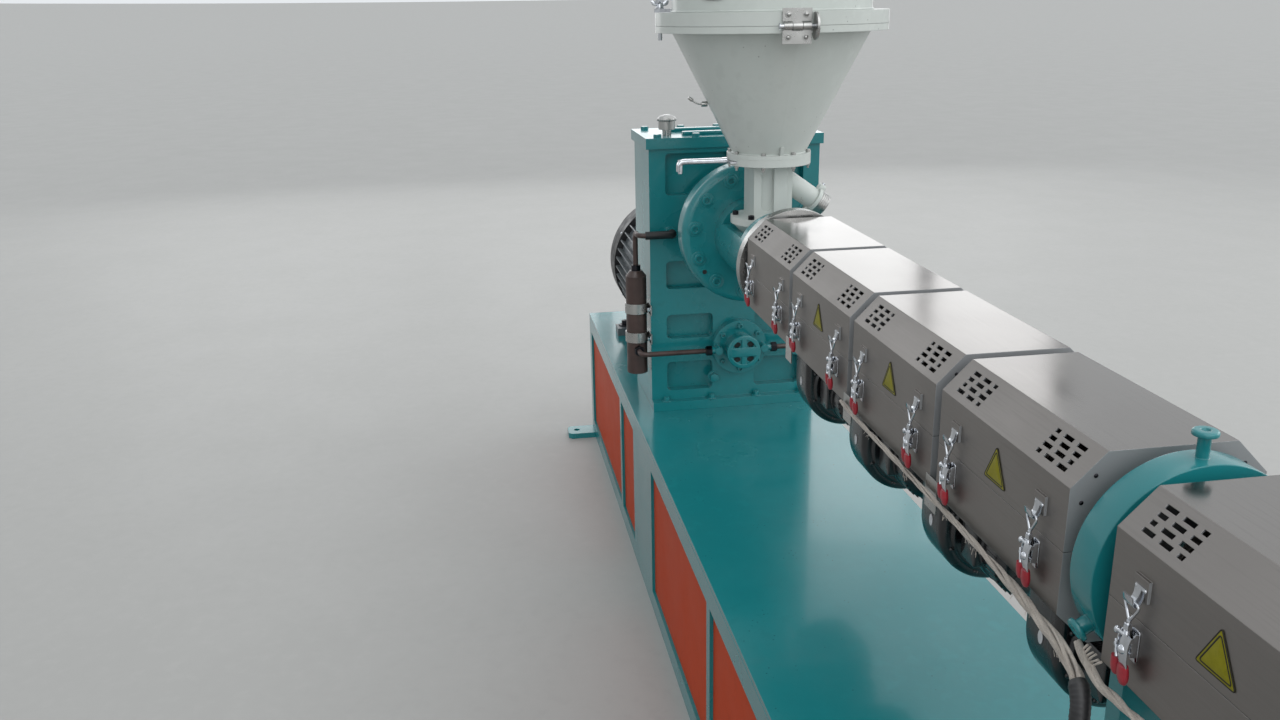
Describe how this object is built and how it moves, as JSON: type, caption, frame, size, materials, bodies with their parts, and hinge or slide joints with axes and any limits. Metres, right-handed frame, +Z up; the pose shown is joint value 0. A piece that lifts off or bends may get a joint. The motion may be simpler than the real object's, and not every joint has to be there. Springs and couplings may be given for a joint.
{
  "type": "single-screw plastic extruder",
  "caption": "Single-screw plastic extruder: gearbox and motor, feed hopper, heated barrel under hinged vented covers, cooling blowers, on a long machine base.",
  "frame": {"origin": "on the floor below the screw axis, at the middle of the machine base", "axes": "+X from the gearbox towards the die, +Y to the side that carries the cover hinges, +Z up"},
  "size_m": [3.465, 0.736, 1.9995],
  "materials": {
    "teal_paint": "glossy machine paint",
    "orange_paint": "semi-gloss paint",
    "cream_paint": "semi-gloss paint",
    "black_paint": "glossy paint",
    "motor_paint": "semi-gloss paint",
    "cooler_paint": "satin paint",
    "stainless": "brushed",
    "zinc": "bright zinc plated",
    "machined": "machined",
    "heater_cast": "cast",
    "red_grip": "dipped vinyl",
    "glass_sleeve": "woven glass sleeve",
    "black_plastic": "matte"
  },
  "bodies": {
    "root": {"base_frame": "teal_paint", "closed_panels": "teal_paint", "deck_plate": "teal_paint", "side_panels": "orange_paint", "anchor_lugs": "teal_paint", "gearbox_housing": "teal_paint", "gearbox_lid": "teal_paint", "breather": "black_plastic", "bearing_housing": "teal_paint", "oil_pump": "teal_paint", "oil_cooler": "cooler_paint", "cooler_straps": "zinc", "oil_pipes": "cooler_paint", "motor_body": "motor_paint", "motor_cowl": "black_paint", "motor_terminal_box": "black_paint", "coupling_guard": "orange_paint", "feed_block": "teal_paint", "feed_flange": "machined", "throat_column": "cream_paint", "drain_slide": "zinc", "hopper_cone": "cream_paint", "hopper_hinge": "zinc", "heat_sensor": "zinc", "barrel": "machined", "screw": "machined", "heater_bands": "heater_cast", "barrel_support": "teal_paint", "joint_ring": "teal_paint", "die_flange": "machined", "tray_1": "stainless", "tray_2": "stainless", "tray_3": "stainless", "tray_4": "stainless", "tray_5": "stainless", "tray_links": "zinc", "latches": "zinc", "latch_grips": "red_grip", "blower_scrolls": "black_paint", "blower_motors": "black_paint", "wire_loom": "glass_sleeve", "loom_gland": "black_plastic"},
    "cover_1": {"cover_1": "stainless"},
    "cover_2": {"cover_2": "stainless"},
    "cover_3": {"cover_3": "stainless"},
    "cover_4": {"cover_4": "stainless"},
    "cover_5": {"cover_5": "stainless"},
    "drum": {"hopper_drum": "cream_paint", "hopper_lid": "cream_paint", "drum_hinge_leaf": "zinc", "rim_clamps": "zinc"},
    "gate": {"slide_gate": "zinc"}
  },
  "joints": [
    {"name": "cover_1_hinge", "type": "hinge", "parent": "root", "child": "cover_1", "pos_m": [0.16, 0.118, 1], "axis": [-1, 0, 0], "range_deg": [0, 100]},
    {"name": "cover_2_hinge", "type": "hinge", "parent": "root", "child": "cover_2", "pos_m": [0.49, 0.118, 1], "axis": [-1, 0, 0], "range_deg": [0, 100]},
    {"name": "cover_3_hinge", "type": "hinge", "parent": "root", "child": "cover_3", "pos_m": [0.82, 0.118, 1], "axis": [-1, 0, 0], "range_deg": [0, 100]},
    {"name": "cover_4_hinge", "type": "hinge", "parent": "root", "child": "cover_4", "pos_m": [1.15, 0.118, 1], "axis": [-1, 0, 0], "range_deg": [0, 100]},
    {"name": "cover_5_hinge", "type": "hinge", "parent": "root", "child": "cover_5", "pos_m": [1.545, 0.118, 1], "axis": [-1, 0, 0], "range_deg": [0, 100]},
    {"name": "drum_hinge", "type": "hinge", "parent": "root", "child": "drum", "pos_m": [0.02435, -0.01849, 1.5], "axis": [0.0698, 0.9976, 0], "range_deg": [0, 90]},
    {"name": "gate_slide", "type": "slide", "parent": "root", "child": "gate", "axis": [0, -1, 0], "range_m": [0, 0.08]}
  ]
}
